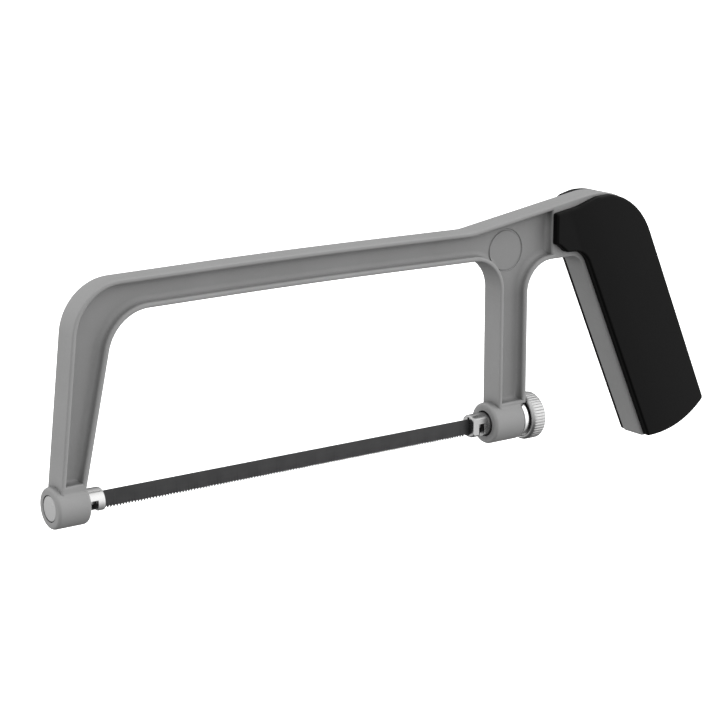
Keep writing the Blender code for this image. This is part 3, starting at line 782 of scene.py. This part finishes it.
def knurl(t, x, r):
    """Straight flutes between the smooth front edge and the back chamfer."""
    lo, hi = 169.35, 173.95
    if x < lo or x > hi or r < 7.0:
        return r
    edge = min(1.0, (x - lo) / 0.35, (hi - x) / 0.35)
    phase = (t * TEETH / (2.0 * math.pi)) % 1.0
    w = abs(phase - 0.5) * 2.0
    cut = max(0.0, (w - 0.62) / 0.38)
    return r - 0.17 * max(0.0, edge) * cut


prof = [(169.3, 2.6), (169.3, 6.6), (168.6, 6.72), (168.52, 6.85), (168.54, 7.15), (168.65, 7.42), (169.15, 7.80),
        (169.35, 7.90), (169.7, 8.06)]
prof += [(169.7 + 3.9 * i / 4, 8.07) for i in range(1, 5)]
prof += [(173.95, 7.86), (174.25, 7.52), (174.5, 7.10), (174.58, 6.7), (174.4, 5.9), (174.4, 2.6)]


def nut_mesh():
    seg = TEETH * 10
    bm = bmesh.new()
    rows = []
    for x, r in prof:
        row = []
        for i in range(seg):
            t = 2.0 * math.pi * i / seg
            rr = knurl(t, x, r)
            row.append(bm.verts.new(place(x, rr * math.cos(t), rr * math.sin(t))))
        rows.append(row)
    m = len(rows)
    for k in range(m):
        a, b = rows[k], rows[(k + 1) % m]
        for i in range(seg):
            j = (i + 1) % seg
            bm.faces.new((a[i], a[j], b[j], b[i]))
    return new_object("knurled_nut", bm)


nut = nut_mesh()
shade(nut, 38.0)
finish_piece(nut, NUT_STEEL, "nut", "plated_steel", "tension_nut")

# ---------------------------------------------------------------- blade
def blade_mesh():
    """Toothed strip with a wavy set: the cutting edge swings from side to side
    over a few teeth, as on fine hacksaw blades."""
    count = int(round((TEETH_X[1] - TEETH_X[0]) / TOOTH_PITCH))
    end_x = TEETH_X[0] + count * TOOTH_PITCH
    low = BLADE_ROOT_Z - 0.35
    cols = [(BLADE_X[0], BLADE_TOP_Z - 0.6, low + 0.5), (BLADE_X[0] + 0.25, BLADE_TOP_Z - 0.15, low + 0.12),
            (BLADE_X[0] + 0.6, BLADE_TOP_Z, low), (TEETH_X[0] - 0.35, BLADE_TOP_Z, low)]
    for i in range(count):
        x = TEETH_X[0] + i * TOOTH_PITCH
        cols.append((x, BLADE_TOP_Z, BLADE_ROOT_Z))
        cols.append((x + 0.10, BLADE_TOP_Z, BLADE_ROOT_Z - TOOTH_H + 0.02))
        cols.append((x + 0.20, BLADE_TOP_Z, BLADE_ROOT_Z - TOOTH_H + 0.04))
        cols.append((x + 0.62, BLADE_TOP_Z, BLADE_ROOT_Z - 0.08))
    cols += [(end_x, BLADE_TOP_Z, BLADE_ROOT_Z), (end_x + 0.35, BLADE_TOP_Z, low),
             (BLADE_X[1] - 0.6, BLADE_TOP_Z, low), (BLADE_X[1] - 0.25, BLADE_TOP_Z - 0.15, low + 0.12),
             (BLADE_X[1], BLADE_TOP_Z - 0.6, low + 0.5)]
    h = BLADE_T / 2.0
    bm = bmesh.new()
    strips = []
    for x, up, down in cols:
        set_y = 0.0
        if TEETH_X[0] < x < TEETH_X[1]:
            set_y = 0.10 * math.sin((x - TEETH_X[0]) / TOOTH_PITCH * 2.0 * math.pi / 7.0)
        col = []
        # around the section: near side from back to edge, then far side
        g = h if set_y == 0.0 else h - 0.12
        for y, z, s in ((-h + 0.06, up, 0.0), (-h, up - 0.07, 0.0), (-h, -1.55, 0.0), (-g, down, set_y),
                        (g, down, set_y), (h, -1.55, 0.0), (h, up - 0.07, 0.0), (h - 0.06, up, 0.0)):
            col.append(bm.verts.new(place(x, y + s, z)))
        strips.append(col)
    for a, b in zip(strips[:-1], strips[1:]):
        n = len(a)
        for i in range(n):
            j = (i + 1) % n
            bm.faces.new((a[i], a[j], b[j], b[i]))
    bm.faces.new(list(reversed(strips[0])))
    bm.faces.new(strips[-1])
    return new_object("toothed_blade", bm)


blade = blade_mesh()
pins = []
for label, px, node in (("front", PIN_FRONT_X, "blade_pin_front"), ("rear", PIN_REAR_X, "blade_pin_rear")):
    L, r = PIN_LEN / 2.0, PIN_R
    pin = lathe_y("pin_" + label, px, 0.0, [(-L, 0.0), (-L, r - 0.2), (-L + 0.06, r - 0.06), (-L + 0.2, r), (L - 0.2, r),
                                           (L - 0.06, r - 0.06), (L, r - 0.2), (L, 0.0)], 48)
    shade(pin)
    finish_piece(pin, STEEL, "blade", "holder_steel", node)
    pins.append(pin)
boolean(blade, [lathe_y("h", px, 0.0, [(-2.0, 0.0), (-2.0, PIN_R + 0.05), (2.0, PIN_R + 0.05), (2.0, 0.0)], 40)
                for px in (PIN_FRONT_X, PIN_REAR_X)])
shade(blade, 25.0, weighted=False)
finish_piece(blade, BLADE_MAT, "blade", "blade_steel", "blade")

# ---------------------------------------------------------------- grip scales
OUTER = H + 2.6


def crown(u):
    """How far the outer face bulges, from u = 0 at the front edge to u = 1 at
    the back edge."""
    u = max(0.0, min(1.0, u))
    if u < 0.42:
        return 0.44 * math.sin(math.pi / 2.0 * u / 0.42) ** 0.9
    return 0.44 * (1.0 - ((u - 0.42) / 0.58) ** 2.0)


def scale_mesh(name, proud, side):
    """A moulded scale: flat against the frame, its outer edge rolled over, and
    its outer face bulging a little between the front and the back edge."""
    pts = grip_outline(proud)
    inner, outer, roll = H + 0.06, OUTER, 0.8
    profile = [(0.12, inner), (0.0, inner + 0.12)]
    for i in range(8):
        t = math.radians(90.0 * i / 7)
        profile.append((roll * (1.0 - math.cos(t)), outer - roll + roll * math.sin(t)))
    # all rings keep their points, so the roll stays under the smallest corner
    rings = []
    for d, y in profile:
        rings.append((inset(pts, d), side * y))
    ob = loft(name, rings)
    bm = bmesh.new()
    bm.from_mesh(ob.data)
    # perpendicular distance from the handle's front edge
    lean = math.atan(-HANDLE_FRONT_SLOPE)
    normal = Vector((math.cos(lean), 0.0, math.sin(lean)))
    origin = place(HANDLE_FRONT_X, 0.0, 0.0)
    for k in range(-22, 26):
        bmesh.ops.bisect_plane(bm, geom=list(bm.verts) + list(bm.edges) + list(bm.faces), dist=1e-7,
                               plane_co=origin + normal * (k * 1.25 * MM), plane_no=normal)
    width = 29.6
    for v in bm.verts:
        t = (v.co - origin).dot(normal) / MM / width
        y = abs(v.co.y) / MM
        if y < inner + 0.5:
            continue
        share = (y - inner) / (outer - inner)
        v.co.y += side * crown(t) * share * MM
    bm.to_mesh(ob.data)
    bm.free()
    return ob


near_scale = scale_mesh("right_scale", 0.0, -1.0)
shade(near_scale, 40.0)
finish_piece(near_scale, PLASTIC, "frame", "grip_plastic", "right_grip")

far_scale = scale_mesh("left_scale", 0.45, 1.0)
seats = []
for sx, sz in SCREWS:
    seats.append(lathe_y("seat", sx, sz, [(H - 1.0, 0.0), (H - 1.0, 1.7), (H + 1.2, 1.7), (H + 1.2, 2.95), (H + 6.0, 3.05), (H + 6.0, 0.0)], 48))
boolean(far_scale, seats)
shade(far_scale, 40.0)
finish_piece(far_scale, PLASTIC, "frame", "grip_plastic", "left_grip")

for label, (sx, sz) in zip(("upper", "middle", "lower"), SCREWS):
    y = H + 2.62
    head = [(H - 4.0, 0.0), (H - 4.0, 1.40), (H + 1.35, 1.45), (H + 1.35, 2.6), (H + 1.9, 2.72)]
    for i in range(1, 6):
        t = math.radians(90.0 * i / 5)
        head.append((H + 1.9 + 0.62 * math.sin(t), 1.5 + 1.22 * math.cos(t)))
    head += [(H + 2.6, 0.8), (H + 2.62, 0.0)]
    screw = lathe_y("pan_screw_" + label, sx, sz, head, 56)
    boolean(screw, [box("a", (sx - 1.35, sx + 1.35), (H + 1.75, H + 4.0), (sz - 0.27, sz + 0.27)),
                    box("b", (sx - 0.27, sx + 0.27), (H + 1.75, H + 4.0), (sz - 1.35, sz + 1.35))])
    shade(screw)
    finish_piece(screw, SCREW_STEEL, "frame", "plated_steel", "grip_screw_" + label)

# ---------------------------------------------------------------- stage
bm = bmesh.new()
bmesh.ops.create_grid(bm, x_segments=1, y_segments=1, size=6.0)
floor = new_object("floor", bm)
# low enough for the blade to swing down over it
floor.location = (0.0, 0.0, -0.085)
fm = bpy.data.materials.new("pale_floor")
fm.use_nodes = True
b = fm.node_tree.nodes["Principled BSDF"]
b.inputs["Base Color"].default_value = (0.93, 0.93, 0.93, 1.0)
b.inputs["Roughness"].default_value = 0.9
b.inputs["Specular IOR Level"].default_value = 0.0
b.inputs["Emission Color"].default_value = (1.0, 1.0, 1.0, 1.0)
b.inputs["Emission Strength"].default_value = 0.75
floor.data.materials.append(fm)
floor.visible_diffuse = False
floor.visible_glossy = False

# A soft studio: the light falls off smoothly from above and the front left to
# the floor and the back.
world = bpy.data.worlds.new("studio")
bpy.context.scene.world = world
world.use_nodes = True
wt = world.node_tree
bg = wt.nodes["Background"]
tc = wt.nodes.new("ShaderNodeTexCoord")
dot = wt.nodes.new("ShaderNodeVectorMath")
dot.operation = "DOT_PRODUCT"
dot.inputs[1].default_value = GRADIENT
wt.links.new(tc.outputs["Generated"], dot.inputs[0])
add = wt.nodes.new("ShaderNodeMath")
add.operation = "ADD"
add.inputs[1].default_value = AMBIENT
wt.links.new(dot.outputs["Value"], add.inputs[0])
low_cut = wt.nodes.new("ShaderNodeMath")
low_cut.operation = "MAXIMUM"
low_cut.inputs[1].default_value = 0.10
wt.links.new(add.outputs[0], low_cut.inputs[0])
level = low_cut.outputs[0]
for way, strength in PANELS:
    aim = wt.nodes.new("ShaderNodeVectorMath")
    aim.operation = "DOT_PRODUCT"
    aim.inputs[1].default_value = Vector(way).normalized()
    wt.links.new(tc.outputs["Generated"], aim.inputs[0])
    front = wt.nodes.new("ShaderNodeMath")
    front.operation = "MAXIMUM"
    front.inputs[1].default_value = 0.0
    wt.links.new(aim.outputs["Value"], front.inputs[0])
    soft = wt.nodes.new("ShaderNodeMath")
    soft.operation = "POWER"
    soft.inputs[1].default_value = 2.0
    wt.links.new(front.outputs[0], soft.inputs[0])
    total = wt.nodes.new("ShaderNodeMath")
    total.operation = "MULTIPLY_ADD"
    total.inputs[1].default_value = strength
    wt.links.new(soft.outputs[0], total.inputs[0])
    wt.links.new(level, total.inputs[2])
    level = total.outputs[0]
wt.links.new(level, bg.inputs["Strength"])
bg.inputs["Color"].default_value = (1.0, 1.0, 1.0, 1.0)


def area(name, loc, target, size, power):
    li = bpy.data.lights.new(name, "AREA")
    li.shape = "RECTANGLE"
    li.size, li.size_y = size
    li.energy = power
    ob = bpy.data.objects.new(name, li)
    bpy.context.scene.collection.objects.link(ob)
    ob.location = loc
    d = Vector(target) - Vector(loc)
    ob.rotation_euler = d.to_track_quat("-Z", "Y").to_euler()
    return ob


area("top_soft", (-0.35, -0.25, 1.2), (0.0, 0.0, 0.05), (0.5, 0.4), 0.35)

sc = bpy.context.scene
sc.view_settings.view_transform = "Standard"
sc.view_settings.look = "None"
sc.view_settings.exposure = 0.0
sc.view_settings.gamma = 1.0

# ---------------------------------------------------------------- camera
YAW, PITCH = math.radians(-35.88), math.radians(13.52)
back = Vector((math.sin(YAW) * math.cos(PITCH), -math.cos(YAW) * math.cos(PITCH), math.sin(PITCH)))
right = Vector((0.0, 0.0, 1.0)).cross(back).normalized()
up = back.cross(right).normalized()
where = right * 81.79 + up * 42.58 + back * 663.5
cam = bpy.data.cameras.new("camera")
cam.sensor_width = 36.0
cam.lens = 110.0
cam.clip_start = 0.01
cam.clip_end = 50.0
camera = bpy.data.objects.new("camera", cam)
bpy.context.scene.collection.objects.link(camera)
m = Matrix((right, up, back)).transposed().to_4x4()
m.translation = place(where.x, where.y, where.z)
camera.matrix_world = m
bpy.context.scene.camera = camera
